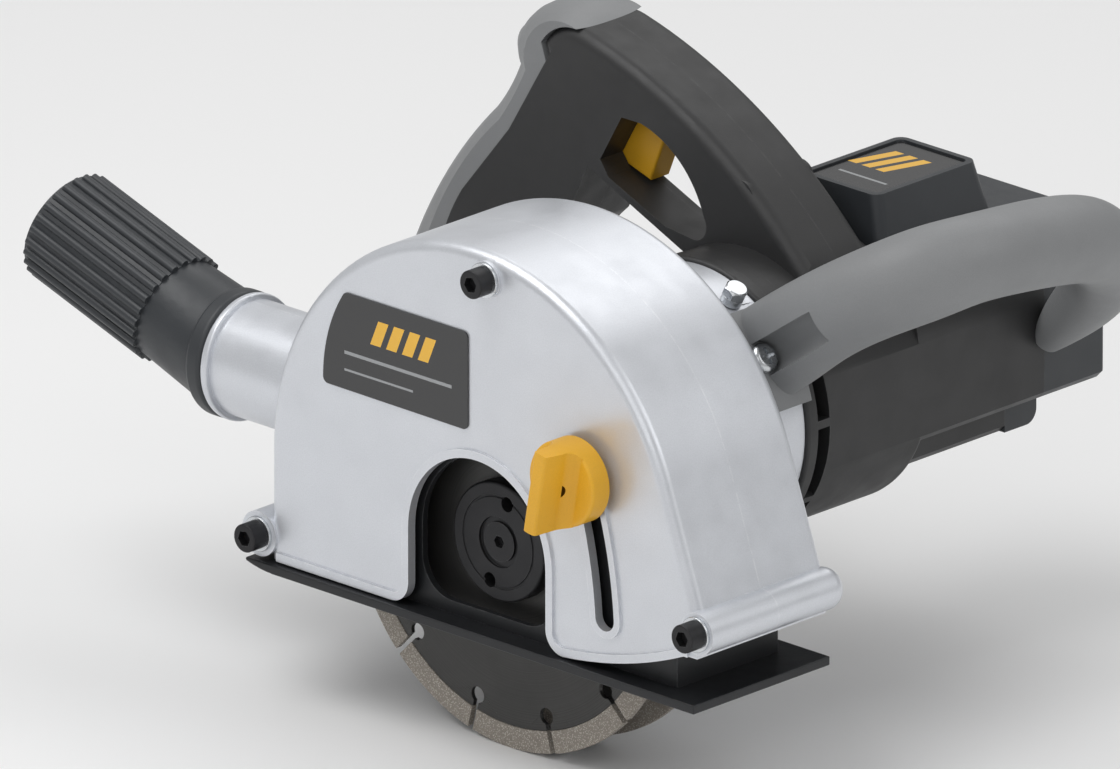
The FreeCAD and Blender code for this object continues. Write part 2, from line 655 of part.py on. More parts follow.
def radial(degrees):
    angle = math.radians(degrees)
    return Vector(math.cos(angle), 0, math.sin(angle))


def motor_point(radius, degrees, y):
    x, z = polar((MOTOR_X, MOTOR_Z), radius, degrees)
    return Vector(x, y, z)


def gear_housing():
    shell = Part.makeCone(45.0, CASE_R, 14.0, Vector(MOTOR_X, GUARD_Y, MOTOR_Z), Y_AXIS)
    shell = shell.fuse(motor_rod(CASE_R, GUARD_Y + 14, CASE_BACK_Y))
    shell = shell.fuse(rod(CASE_LOBE_R, 32.4, CASE_BACK_Y))
    shell = shell.fuse(rod(NOSE_R, NOSE_Y, 34.0))
    shell = shell.cut(case_pair(BODY_CAVITY_R, CASE_LOBE_R - 2.0, CASE_CAVITY_Y, CASE_BACK_Y + 1))
    shell = shell.cut(rod(20.0, 26.25, 39)).cut(rod(12.0, NOSE_Y - 1, 27))
    guide = Part.makeCylinder(4.4, 12.0, motor_point(CASE_R - 14.0, LOCK_DEG, LOCK_Y), radial(LOCK_DEG))
    shell = shell.fuse(guide)
    stem = Part.makeCylinder(2.5 + RUN_GAP, 40.0, motor_point(30, LOCK_DEG, LOCK_Y), radial(LOCK_DEG))
    shell = shell.cut(stem)
    bail_screw = Part.makeCylinder(2.2, 20.0, motor_point(40, BAIL_DEG, BAIL_SCREW_Y), radial(BAIL_DEG))
    return shell.cut(bail_screw).removeSplitter()


def bearing_plate():
    """Seats of the spindle's rear bearing and the motor's front bearing; it centres both castings."""
    plate = case_pair(BODY_CAVITY_R, CASE_LOBE_R - 2.0, PLATE_Y, CASE_BACK_Y)
    plate = plate.fuse(rod(CASE_LOBE_R - 8.0, SEAT_LOBE_Y, PLATE_Y))
    plate = plate.fuse(motor_rod(BODY_CAVITY_R, PLATE_Y, PLATE_END_Y))
    plate = plate.cut(motor_rod(14.0, PLATE_Y + 0.25, 80)).cut(motor_rod(8.0, 50, 80))
    plate = plate.cut(rod(15.0, SEAT_LOBE_Y - 1, 61.25)).cut(rod(6.0, 50, 80))
    return plate.removeSplitter()


def body_outline(inset, with_ledge=True):
    """Section of the rear half of the body: flat sides, large top corners and a ledge below."""
    left = MOTOR_X - BODY_FLAT + inset
    right = MOTOR_X + BODY_FLAT - inset
    low = BODY_LOW_Z + inset
    top = BODY_TOP_Z - inset
    corner = BODY_CORNER_R - inset
    diag = corner * (1.0 - math.sqrt(0.5))
    small = 2.5
    moves = []
    if with_ledge:
        ledge_left = MOTOR_X - LEDGE_HALF + inset
        ledge_right = MOTOR_X + LEDGE_HALF - inset
        ledge_z = LEDGE_Z + inset
        moves += [(ledge_left, low), (ledge_left, ledge_z + small), (ledge_left + small, ledge_z),
                  (ledge_right - small, ledge_z), (ledge_right, ledge_z + small), (ledge_right, low)]
    moves += [(right - small, low), (right, low + small), (right, top - corner),
              ((right - diag, top - diag), (right - corner, top)), (left + corner, top),
              ((left + diag, top - diag), (left, top - corner)), (left, low + small)]
    return profile((left + small, low), *moves)


def vent_window(centre_deg):
    wedge = profile((0, 0), polar((0, 0), 70, centre_deg - VENT_HALF_DEG), polar((0, 0), 70, centre_deg),
                    polar((0, 0), 70, centre_deg + VENT_HALF_DEG))
    wedge = slab(wedge, *VENT_Y)
    wedge.translate(Vector(MOTOR_X, 0, MOTOR_Z))
    return wedge.cut(motor_rod(BODY_CAVITY_R - 1.0, VENT_Y[0] - 1, VENT_Y[1] + 1))


def motor_housing():
    """Ring, vent band, round front barrel and the boxy rear part with its ledge."""
    ring = motor_rod(RING_R, CASE_BACK_Y, RING_END_Y)
    ring = rounded(ring, 1.6, lambda p: abs(p.y - CASE_BACK_Y) < 1e-3)
    band = motor_rod(BAND_R, RING_END_Y, BODY_Y)
    flat = block(MOTOR_X - BODY_FLAT, MOTOR_X + BODY_FLAT, BODY_Y, BODY_END_Y, -20, 140)
    barrel = rounded(motor_rod(BODY_R, BODY_Y, BODY_STEP_Y), 3.0, lambda p: abs(p.y - BODY_STEP_Y) < 1e-3)
    barrel = barrel.common(flat)
    box = slab(body_outline(0.0), BODY_STEP_Y - 4.0, BODY_END_Y)
    body = ring.fuse([band, barrel, box])
    body = body.cut(motor_rod(BODY_CAVITY_R, CASE_BACK_Y - 1, STATOR_Y[1] + 0.5))
    body = body.cut(slab(body_outline(BODY_WALL), STATOR_Y[1] - 2, 169.0))
    body = body.cut(motor_rod(11.0, 171.0, BODY_END_Y + 1)).cut(motor_rod(6.0, 160, 180))
    for k in range(VENTS):
        centre = VENT_FIRST_DEG + 360.0 / VENTS * k
        if not VENT_FREE_DEG[0] < centre < VENT_FREE_DEG[1]:
            body = body.cut(vent_window(centre))
    return body.removeSplitter()


def brush_gear():
    """Both carbon brushes with their holders, springs and screw caps."""
    caps, holders, brushes, springs = [], [], [], []
    for side in (-1, 1):
        out = Vector(side, 0, 0)

        def peg(radius, start, end):
            origin = Vector(MOTOR_X + side * start, BRUSH_Y, MOTOR_Z)
            return Part.makeCylinder(radius, end - start, origin, out)

        def bar(half, start, end):
            x_from, x_to = sorted((MOTOR_X + side * start, MOTOR_X + side * end))
            return block(x_from, x_to, BRUSH_Y - half, BRUSH_Y + half, MOTOR_Z - half, MOTOR_Z + half)

        holders.append(peg(BRUSH_R, 16.5, 38.0).cut(bar(3.5, 10, 39)))
        brushes.append(bar(3.5, 13.4, 26.0))
        springs.append(peg(3.2, 26.0, 38.0).cut(peg(2.4, 25, 39)))
        caps.append(peg(BRUSH_R, 38.0, 42.5).cut(bar(0.9, 41.3, 44)))
    save("brush_holders", *holders)
    save("brushes", *brushes)
    save("brush_springs", *springs)
    save("brush_caps", *caps)


def motor_sector(solid, middle_deg, half_deg):
    """The part of a ring about the motor axis that lies within an angle."""
    left = polar((0, 0), 60, middle_deg - half_deg)
    right = polar((0, 0), 60, middle_deg + half_deg)
    wedge = slab(profile((0, 0), left, polar((0, 0), 80, middle_deg), right), 50, 180)
    wedge.translate(Vector(MOTOR_X, 0, MOTOR_Z))
    return solid.common(wedge)


def stator_core():
    ring = motor_tube(BODY_CAVITY_R, 36.0, *STATOR_Y)
    for side in (90, 270):
        ring = ring.fuse(motor_sector(motor_tube(37.0, 24.3, *STATOR_Y), side, 38))
    return ring.removeSplitter()


def field_windings():
    coils = []
    for side in (90, 270):
        for outer, low, high in ((35.0, STATOR_Y[0] - 8, STATOR_Y[0]),
                                 (32.0, STATOR_Y[1], STATOR_Y[1] + 8)):
            coils.append(motor_sector(motor_tube(outer, 26.0, low, high), side, 50))
    return coils


def rear_cap():
    """End cover: the body's section carried on, with a shorter foot behind the ledge and an air grille."""
    cap = slab(body_outline(0.0, False), BODY_END_Y, CAP_END_Y)
    cap = rounded(cap, 2.0, lambda p: abs(p.y - CAP_END_Y) < 1e-3)
    foot = block(MOTOR_X - LEDGE_HALF, MOTOR_X + LEDGE_HALF, BODY_END_Y, LEDGE_END_Y,
                 LEDGE_Z, BODY_LOW_Z + 8)
    foot = rounded(foot, 5.0, lambda p: abs(p.y - LEDGE_END_Y) < 1e-3 and p.z < BODY_LOW_Z + 7.9)
    cap = cap.fuse(foot)
    cap = cap.cut(slab(body_outline(BODY_WALL, False), BODY_END_Y - 1, CAP_END_Y - BODY_WALL))
    hollow = (MOTOR_X - LEDGE_HALF + BODY_WALL, MOTOR_X + LEDGE_HALF - BODY_WALL, BODY_END_Y - 1,
              LEDGE_END_Y - BODY_WALL, LEDGE_Z + BODY_WALL, BODY_LOW_Z + 9)
    cap = cap.cut(block(*hollow))
    for k in range(CAP_GRILLES):
        z = 71.0 + 4.6 * k
        cap = cap.cut(block(MOTOR_X - 22, MOTOR_X + 22, CAP_END_Y - 5, CAP_END_Y + 1, z, z + 2.2))
    cap = cap.cut(rod(GLAND_R, CAP_END_Y - 5, CAP_END_Y + 1, MOTOR_X, GLAND_Z))
    return cap.removeSplitter()


def cable_gland():
    gland = rod(GLAND_R, CAP_END_Y - 6, CAP_END_Y + 2, MOTOR_X, GLAND_Z)
    gland = gland.fuse(rod(8.0, CAP_END_Y, CAP_END_Y + 3, MOTOR_X, GLAND_Z))
    gland = gland.fuse(Part.makeCone(7.5, 6.0, 9.0, Vector(MOTOR_X, CAP_END_Y + 3, GLAND_Z), Y_AXIS))
    return gland.cut(rod(GLAND_BORE_R, CAP_END_Y - 10, CAP_END_Y + 20, MOTOR_X, GLAND_Z)).removeSplitter()


def plan_rect(x_from, x_to, y_from, y_to, z, corner):
    flat = Part.makePlane(x_to - x_from, y_to - y_from, Vector(x_from, y_from, z))
    solid = flat.extrude(Vector(0, 0, 1))
    solid = solid.makeFillet(corner, [e for e in solid.Edges if abs(e.Vertexes[0].Z - e.Vertexes[1].Z) > 0.5])
    bottom = [f for f in solid.Faces if abs(f.CenterOfMass.z - z) < 1e-6][0]
    return bottom.OuterWire


def top_box():
    """Tapered cover with a raised rim round its name plate recess."""
    low_z = 96.0
    spread = 6.0
    low = plan_rect(BOX_X[0] - spread, BOX_X[1] + spread, BOX_Y[0] - 3, BOX_Y[1] + spread, low_z, 4.0)
    high = plan_rect(BOX_X[0], BOX_X[1], BOX_Y[0], BOX_Y[1], BOX_TOP_Z, 4.0)
    box = Part.makeLoft([low, high], True, True)
    box = box.cut(slab(body_outline(0.0), 100, 200)).cut(motor_rod(BODY_R, 100, BODY_STEP_Y))
    recess = plan_rect(BOX_X[0] + 2.2, BOX_X[1] - 2.2, BOX_Y[0] + 2.2, BOX_Y[1] - 2.2, BOX_TOP_Z - 1.2, 2.5)
    box = box.cut(Part.Face(recess).extrude(Vector(0, 0, 5)))
    room = block(BOX_X[0] + 3, BOX_X[1] - 3, BOX_Y[0] + 4, BOX_Y[1] - 4, 90, BOX_TOP_Z - 4.0)
    return box.cut(room).removeSplitter()


def soft_start_module():
    return block(BOX_X[0] + 5, BOX_X[1] - 5, BOX_Y[0] + 8, BOX_Y[1] - 8, BODY_TOP_Z, BOX_TOP_Z - 5.0)


# ---- main handle ----------------------------------------------------------------------------
def handle_outline():
    """Outer outline of the black shells; the right foot and lower arm run into the housing."""
    return profile((-79.7, 156.5), (-82, 163), ((-74, 170), (-62, 171)), ((-9, 150), (40, 112)),
                   (46, 96), (14, 90), (-14, 104), (-60, 124), (-72, 98), ((-89, 77), (-99, 50)),
                   ((-96, 42.5), (-89, 40)), (-20, 40), (-20, 20), (-108, 18),
                   ((-124, 27), (-131, 46)), ((-130, 75), (-118.7, 101.3)), (-96.7, 128.3))


def trigger_window():
    """Finger opening beside the trigger."""
    return profile((-44, 145.5), (-35, 145.5), ((-15, 134.5), (-5.6, 119)), ((-5.8, 112), (-11, 110)),
                   (-24, 111.5), (-50, 122.5), (-54, 128))


def bar_relief():
    """Region behind the bar under the finger opening; the bar is thinner than the handle."""
    return profile((-57, 95), (-57, 127), (-50, 130), (-12, 118), (-8, 108), (-8, 95))


def trigger_outline():
    return profile((-41.7, 120.4), (-35.3, 136.2), (-39.5, 140.5), (-52, 142), (-58, 138), (-60, 131),
                   (-51.9, 123.6))


BAR_BACK_Y = HANDLE_Y[1] + 3.4
GRIP_STEPS = 4
GRIP_EDGE = 0.42
# farthest reach of the palm moulding and the point on the shell it rises from
GRIP_REACH = (
    ((-63, 170.9), (-62, 169.5)), ((-84, 174.5), (-78, 167.5)), ((-99.5, 163.5), (-81.0, 161.0)),
    ((-103.2, 157), (-80, 158)), ((-100.8, 150), (-81.0, 152)), ((-104, 143), (-86.5, 142)),
    ((-112, 131.2), (-94.5, 129.5)), ((-133.5, 105.5), (-116.5, 102.5)), ((-151, 75.2), (-128, 75)),
    ((-157, 40), (-129, 47)), ((-139, 14), (-122, 27)), ((-126, 7), (-115, 22)), ((-108, 6), (-107, 20)))
GRIP_CORE = ((-100, 30), (-122, 50), (-120, 76), (-111, 98), (-90, 127), (-73, 155), (-72, 162))
HANDLE_SCREWS = ((-72.0, 160.0), (10.0, 130.0), (-88.0, 118.0), (-117.0, 50.0), (-60.0, 29.5))
PILLAR_R = 6.0
SCREW_R = 2.0
SCREW_HEAD_R = 4.0
SCREW_SEAT_Y = HANDLE_Y[2] - 4.0
TRIGGER_HALF = 5.0
TRIGGER_TRAVEL = 4.0
TRIGGER_LEAN_DEG = 158.2


def handle_shell(front):
    """One shell of the D handle, hollow behind a constant wall."""
    inward = 1.0 if front else -1.0
    y_face = HANDLE_Y[0] if front else HANDLE_Y[2]
    y_seam = HANDLE_Y[1]
    shell = slab(handle_outline(), *sorted((y_face, y_seam)))
    def on_arch(p):
        high = 140 - 0.7 * max(p.x, 0)
        return abs(p.y - y_face) < 1e-3 and p.x > -82.1 and p.z > high

    shell = shell.makeFillet(HANDLE_EDGE, edges_where(shell, on_arch))
    shell = shell.cut(slab(trigger_window(), 60, 140))
    window_wall = Part.Face(trigger_window()).makeOffset2D(HANDLE_WALL)
    for inset, depth in ((HANDLE_WALL, HANDLE_EDGE + 1.5), (HANDLE_WALL + HANDLE_EDGE, HANDLE_WALL)):
        room = Part.Face(handle_outline()).makeOffset2D(-inset).cut(window_wall)
        low, high = sorted((y_face + inward * depth, y_seam + inward))
        room.translate(Vector(0, low, 0))
        shell = shell.cut(room.extrude(Vector(0, high - low, 0)))
    for spot in HANDLE_SCREWS:
        pillar = rod(PILLAR_R, *sorted((y_face + 1.5 * inward, y_seam)), *spot)
        shell = shell.fuse(pillar.common(slab(handle_outline(), 60, 140)))
        bore_from = HANDLE_Y[0] + 4.0
        shell = shell.cut(rod(SCREW_R, bore_from, 140, *spot))
        shell = shell.cut(rod(SCREW_HEAD_R, SCREW_SEAT_Y, 140, *spot))
    shell = shell.cut(motor_rod(BODY_R, 60, 140)).cut(slab(bar_relief(), BAR_BACK_Y, 140))
    room = Part.Face(trigger_outline()).makeOffset2D(0.5)
    for step in range(4):
        way = radial(TRIGGER_LEAN_DEG) * (TRIGGER_TRAVEL + 0.5) * (step / 3.0)
        path = room.copy()
        path.translate(way + Vector(0, y_seam - TRIGGER_HALF - 0.4, 0))
        shell = shell.cut(path.extrude(Vector(0, 2 * TRIGGER_HALF + 0.8, 0)))
    return max(shell.removeSplitter().Solids, key=lambda s: s.Volume)


def trigger():
    body = slab(trigger_outline(), HANDLE_Y[1] - TRIGGER_HALF, HANDLE_Y[1] + TRIGGER_HALF)
    return rounded(body, 1.0, lambda p: abs(abs(p.y - HANDLE_Y[1]) - TRIGGER_HALF) < 1e-3 and p.x > -52.5)


def grip_section(fullness, y):
    """Closed outline of the palm moulding at one station; fullness 1 is the outermost reach."""
    points = []
    for outer, inner in GRIP_REACH:
        x = inner[0] + (outer[0] - inner[0]) * fullness
        z = inner[1] + (outer[1] - inner[1]) * fullness
        points.append((x, z))
    moves = [(points[k], points[k + 1]) for k in range(1, len(points) - 1, 2)]
    wire = profile(points[0], *moves, *GRIP_CORE)
    wire.translate(Vector(0, y, 0))
    return wire


def soft_grip():
    """Palm side of the handle: soft moulding bulging outside the black shells."""
    half = (HANDLE_Y[2] - HANDLE_Y[0]) / 2.0 - 0.4
    sections = []
    for k in range(-GRIP_STEPS, GRIP_STEPS + 1):
        share = k / float(GRIP_STEPS)
        fullness = 1.0 - (1.0 - GRIP_EDGE) * abs(share) ** 2.4
        sections.append(grip_section(fullness, HANDLE_Y[1] + half * share))
    grip = Part.makeLoft(sections, True, True)
    return grip.cut(slab(handle_outline(), 60, 140)).removeSplitter()


def handle_screws():
    screws = []
    for x, z in HANDLE_SCREWS:
        head = rod(SCREW_HEAD_R - 0.2, SCREW_SEAT_Y, SCREW_SEAT_Y + 2.4, x, z)
        screw = head.fuse(rod(SCREW_R, HANDLE_Y[0] + 5.0, SCREW_SEAT_Y + 0.5, x, z))
        for turn in (0, 90):
            cross = block(x - 2.4, x + 2.4, SCREW_SEAT_Y + 1.2, SCREW_SEAT_Y + 3, z - 0.5, z + 0.5)
            cross.rotate(Vector(x, 0, z), Y_AXIS, turn)
            screw = screw.cut(cross)
        screws.append(screw)
    return screws


def switch_body():
    return block(-81, -69.5, HANDLE_Y[1] - 7.5, HANDLE_Y[1] + 7.5, 129, 144)


# ---- bail handle ----------------------------------------------------------------------------
PAD_R = 54.0
PAD_Y = (38.0, 61.5)
PAD_SPAN_DEG = 20.0

# centre, half width across and half width along the motor, from the pad to the rear end
BAIL_STATIONS = (
    ((47.0, 53.0, 87.0), 17.0, 9.0), ((60.0, 53.5, 98.5), 16.5, 10.0), ((76.0, 57.5, 111.0), 15.8, 12.5),
    ((93.0, 65.0, 122.0), 15.8, 14.4), ((106.0, 77.0, 129.2), 16.0, 15.0), ((111.5, 91.0, 131.6), 16.0, 15.0),
    ((112.5, 111.0, 130.4), 16.0, 15.0), ((112.0, 132.0, 127.6), 15.8, 15.0), ((110.0, 150.0, 122.6), 15.2, 14.6),
    ((104.0, 164.5, 112.5), 14.0, 13.6), ((94.0, 174.5, 99.0), 12.4, 12.2), ((80.0, 180.0, 85.0), 10.5, 10.5),
    ((68.0, 182.5, 74.0), 8.0, 8.0), ((60.5, 183.6, 66.5), 5.5, 5.5))


def bail_section(index):
    """Ellipse across the bail's centre line at one station."""
    centre = Vector(*BAIL_STATIONS[index][0])
    before = Vector(*BAIL_STATIONS[max(index - 1, 0)][0])
    after = Vector(*BAIL_STATIONS[min(index + 1, len(BAIL_STATIONS) - 1)][0])
    tangent = (after - before).normalize()
    wide = tangent.cross(Vector(0, 1, 0.2)).normalize()
    thick = tangent.cross(wide).normalize()
    half_wide, half_thick = BAIL_STATIONS[index][1:]
    ellipse = Part.Ellipse(centre + wide * (half_wide + 0.01), centre + thick * half_thick, centre)
    return Part.Wire([ellipse.toShape()])


def bail_handle():
    sections = [bail_section(k) for k in range(len(BAIL_STATIONS))]
    bail = Part.makeLoft(sections, True, False)
    pad = motor_tube(PAD_R, CASE_R, *PAD_Y)
    wedge = slab(profile((0, 0), polar((0, 0), 80, BAIL_DEG - PAD_SPAN_DEG),
                         polar((0, 0), 80, BAIL_DEG + PAD_SPAN_DEG)), 30, 70)
    wedge.translate(Vector(MOTOR_X, 0, MOTOR_Z))
    pad = pad.common(wedge)
    bail = bail.fuse(pad)
    bail = bail.cut(motor_rod(CASE_R, 20, 80)).cut(motor_rod(RING_R, CASE_BACK_Y, BODY_STEP_Y))
    bail = bail.cut(block(0, MOTOR_X + BODY_FLAT, 90, 220, 0, 110))
    hole = Part.makeCylinder(2.2, 30, motor_point(40, BAIL_DEG, BAIL_SCREW_Y), radial(BAIL_DEG))
    seat = Part.makeCylinder(6.2, 30, motor_point(PAD_R - 0.2, BAIL_DEG, BAIL_SCREW_Y), radial(BAIL_DEG))
    return max(bail.cut(hole).cut(seat).removeSplitter().Solids, key=lambda s: s.Volume)


# ---- spindle lock ---------------------------------------------------------------------------
def lock_button():
    """Hexagonal head with a chamfered top on a round neck, a stem and a thin pin for the notches."""
    out = radial(LOCK_DEG)
    seat = motor_point(LOCK_HEAD_FROM, LOCK_DEG, LOCK_Y)
    head = hexagon(2 * LOCK_HEAD_R * math.cos(math.pi / 6), 0.0, 3.4, 0, 0)
    cone = Part.makeCone(LOCK_HEAD_R + 2.4, LOCK_HEAD_R - 1.0, 3.4, Vector(0, 0, 0), Y_AXIS)
    head = head.common(cone)
    head.rotate(Vector(0, 0, 0), Vector(1, 0, 0), 90)
    head.rotate(Vector(0, 0, 0), Y_AXIS, 90.0 - LOCK_DEG)
    head.translate(seat)
    stem = Part.makeCylinder(2.5, LOCK_HEAD_FROM - 19.5, motor_point(20, LOCK_DEG, LOCK_Y), out)
    pin = Part.makeCylinder(1.3, 4.0, motor_point(16.8, LOCK_DEG, LOCK_Y), out)
    return head.fuse([stem, pin]).removeSplitter()


def lock_spring():
    out = radial(LOCK_DEG)
    low = motor_point(CASE_R + 0.4, LOCK_DEG, LOCK_Y)
    high = LOCK_TRAVEL - 0.1
    return Part.makeCylinder(3.8, high, low, out).cut(Part.makeCylinder(3.0, high, low, out))


# ---- dust adapter ---------------------------------------------------------------------------
def circle_wire(radius, centre, normal):
    return Part.Wire([Part.makeCircle(radius, centre, normal)])


def dust_adapter():
    tilt = math.radians(ELBOW_TILT_DEG)
    along = Vector(-math.cos(tilt), 0, math.sin(tilt))
    minus_x = Vector(-1, 0, 0)
    start = Vector(PORT_END_X - 0.3, 0, PORT_Z)
    lip_end = Vector(PORT_END_X - 7.5, 0, PORT_Z)
    knee = Vector(ELBOW_START[0], 0, ELBOW_START[1])
    lip = Part.makeCylinder(22.4, 7.2, start, minus_x)
    lip = rounded(lip, 2.0, lambda p: abs(p.x - lip_end.x) < 1e-3 or abs(p.x - start.x) < 1e-3)
    spigot = Part.makeCylinder(PORT_BORE_R - RUN_GAP, 18.5, start + Vector(18, 0, 0), minus_x)
    elbow = Part.makeLoft([circle_wire(20.6, lip_end + Vector(2, 0, 0), minus_x),
                           circle_wire(18.8, knee + along, along)], True, True)
    sleeve = Part.makeCylinder(SLEEVE_R - 1.5, SLEEVE_LEN, knee, along)
    side = Vector(0, 1, 0)
    up = along.cross(side)
    for k in range(SLEEVE_RIBS):
        angle = 2 * math.pi * k / SLEEVE_RIBS
        spot = side * math.cos(angle) * (SLEEVE_R - 1.6) + up * math.sin(angle) * (SLEEVE_R - 1.6)
        sleeve = sleeve.fuse(Part.makeCylinder(1.6, SLEEVE_LEN - 1.0, knee + spot, along))
    adapter = lip.fuse([spigot, elbow, sleeve])
    passage = Part.makeLoft([circle_wire(15.5, lip_end + Vector(3, 0, 0), minus_x),
                             circle_wire(16.0, knee + along * 4, along)], True, True)
    adapter = adapter.cut(Part.makeCylinder(15.5, 30, start + Vector(20, 0, 0), minus_x))
    adapter = adapter.cut(passage).cut(Part.makeCylinder(16.0, 20, knee + along * 3, along))
    mouth = knee + along * (SLEEVE_LEN - HOSE_DEPTH)
    return adapter.cut(Part.makeCylinder(HOSE_R, HOSE_DEPTH + 5, mouth, along)).removeSplitter()


def top_label():
    return block(BOX_X[0] + 2.6, BOX_X[1] - 2.6, BOX_Y[0] + 2.6, BOX_Y[1] - 2.6, BOX_TOP_Z - 1.2, BOX_TOP_Z - 0.7)


save("guard_cover", guard_cover())
save("guard_rear", guard_rear())
guard_fasteners()
save("front_label", front_label())
save("sole_plate", sole_plate())
save("shoe_bracket", shoe_bracket())
save("clamp_bolt", clamp_bolt())
save("clamp_washer", tube(9.0, 4.0, *CLAMP_WASHER_Y, *CLAMP))
save("depth_knob", depth_knob())
save("knob_nut", knob_nut())
spindle_parts()
save("drive_gear", drive_gear())
rotor_parts()
outer, inner = bearing_rings(SPINDLE_BEARINGS, 0.0, SPINDLE_Z)
save("spindle_bearing_outer", *outer)
save("spindle_bearing_inner", *inner)
outer, inner = bearing_rings(MOTOR_BEARINGS, MOTOR_X, MOTOR_Z)
save("motor_bearing_outer", *outer)
save("motor_bearing_inner", *inner)
save("felt_seal", tube(12.0, 8.5 + RUN_GAP, NOSE_Y + 0.2, 26.2))
save("gear_housing", gear_housing())
save("bearing_plate", bearing_plate())
save("motor_housing", motor_housing())
save("stator_core", stator_core())
save("field_windings", *field_windings())
brush_gear()
save("rear_cap", rear_cap())
save("cable_gland", cable_gland())
save("top_box", top_box())
save("top_label", top_label())
save("soft_start_module", soft_start_module())
save("handle_front_shell", handle_shell(True))
save("handle_rear_shell", handle_shell(False))
save("handle_screws", *handle_screws())
save("soft_grip", soft_grip())
save("trigger", trigger())
save("switch_body", switch_body())
save("bail_handle", bail_handle())
save("bail_screw", pan_screw(motor_point(PAD_R - 0.2, BAIL_DEG, BAIL_SCREW_Y), radial(BAIL_DEG), 9.0))
save("lock_button", lock_button())
save("lock_spring", lock_spring())
save("dust_adapter", dust_adapter())
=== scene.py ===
import json
import math

import bpy
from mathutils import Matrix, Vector


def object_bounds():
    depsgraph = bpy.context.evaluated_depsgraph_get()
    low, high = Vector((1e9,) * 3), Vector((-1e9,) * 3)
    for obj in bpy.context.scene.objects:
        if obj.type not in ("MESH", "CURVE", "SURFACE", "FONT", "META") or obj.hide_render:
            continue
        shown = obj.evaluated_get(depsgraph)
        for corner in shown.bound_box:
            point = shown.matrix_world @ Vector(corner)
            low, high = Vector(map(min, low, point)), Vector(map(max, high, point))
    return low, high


# Looks for the twin-blade wall chaser: studio, finishes and edge rounding.
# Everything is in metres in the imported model's frame.
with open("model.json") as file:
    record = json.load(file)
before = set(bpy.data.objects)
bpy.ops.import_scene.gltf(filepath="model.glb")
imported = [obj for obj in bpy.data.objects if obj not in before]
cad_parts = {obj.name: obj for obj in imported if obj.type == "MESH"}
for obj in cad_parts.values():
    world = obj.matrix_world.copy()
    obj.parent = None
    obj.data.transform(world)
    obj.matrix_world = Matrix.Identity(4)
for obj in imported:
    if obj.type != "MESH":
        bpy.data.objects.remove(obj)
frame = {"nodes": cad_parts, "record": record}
cad_low, cad_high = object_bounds()

MM = 0.001
NODES = frame["nodes"]
SPINDLE = Vector((0.0, 0.0, 0.032))
MOTOR = Vector((0.014, 0.0, 0.06408))


# ---- studio ---------------------------------------------------------------------------------
VIEW_AZIMUTH = math.radians(43.75)
VIEW_ELEVATION = math.radians(20.0)
VIEW_TARGET = Vector((0.00246, 0.00572, 0.08184))
VIEW_DISTANCE = 14.118
LENS_MM = 1350.0
SENSOR_MM = 36.0
NEAR_CLIP = 0.1
FAR_CLIP = 50.0
WORLD_STRENGTH = 0.42
FLOOR_HALF = 6.0
# name, azimuth and elevation in degrees, distance and panel size in metres, power in watts
SOFTBOXES = (
    ("key", -35.0, 62.0, 1.6, (1.3, 1.0), 13.0),
    ("front", 30.0, 28.0, 2.2, (1.6, 1.2), 6.0),
    ("right", 110.0, 35.0, 1.8, (1.2, 1.2), 6.0),
    ("back", 200.0, 50.0, 1.8, (1.4, 1.0), 6.0),
)


def direction(azimuth, elevation):
    """Unit vector from the object towards a viewer; azimuth 0 is the -Y side."""
    level = math.cos(elevation)
    return Vector((math.sin(azimuth) * level, -math.cos(azimuth) * level, math.sin(elevation)))


def aimed(holder, target, toward, distance):
    holder.location = target + toward * distance
    holder.rotation_mode = "QUATERNION"
    holder.rotation_quaternion = (-toward).to_track_quat("-Z", "Y")


def add_camera():
    data = bpy.data.cameras.new("camera")
    data.lens = LENS_MM
    data.sensor_width = SENSOR_MM
    data.clip_start = NEAR_CLIP
    data.clip_end = FAR_CLIP
    camera = bpy.data.objects.new("camera", data)
    bpy.context.scene.collection.objects.link(camera)
    aimed(camera, VIEW_TARGET, direction(VIEW_AZIMUTH, VIEW_ELEVATION), VIEW_DISTANCE)
    bpy.context.scene.camera = camera


def add_softbox(name, azimuth_deg, elevation_deg, distance, size, power):
    data = bpy.data.lights.new(name, "AREA")
    data.shape = "RECTANGLE"
    data.size, data.size_y = size
    data.energy = power
    light = bpy.data.objects.new(name, data)
    bpy.context.scene.collection.objects.link(light)
    toward = direction(math.radians(azimuth_deg), math.radians(elevation_deg))
    aimed(light, VIEW_TARGET, toward, distance)


def add_world():
    world = bpy.data.worlds.new("studio")
    world.use_nodes = True
    background = world.node_tree.nodes["Background"]
    background.inputs["Color"].default_value = (1.0, 1.0, 1.0, 1.0)
    background.inputs["Strength"].default_value = WORLD_STRENGTH
    bpy.context.scene.world = world
    bpy.context.scene.view_settings.view_transform = "Standard"


def add_floor():
    mesh = bpy.data.meshes.new("floor")
    half = FLOOR_HALF
    level = cad_low.z
    corners = [(-half, -half, level), (half, -half, level), (half, half, level), (-half, half, level)]
    mesh.from_pydata(corners, [], [(0, 1, 2, 3)])
    floor = bpy.data.objects.new("floor", mesh)
    bpy.context.scene.collection.objects.link(floor)
    material, tree, shader = new_material("floor_white")
    shader.inputs["Roughness"].default_value = 0.7
    cloud = noise(tree, 2.0, detail=2.0)
    put(shader, "Base Color", blend_colours(tree, cloud, (0.86, 0.86, 0.86), (0.90, 0.90, 0.90)))
    mesh.materials.append(material)


# ---- material building blocks ---------------------------------------------------------------
def new_material(name):
    material = bpy.data.materials.new(name)
    material.use_nodes = True
    tree = material.node_tree
    return material, tree, tree.nodes["Principled BSDF"]


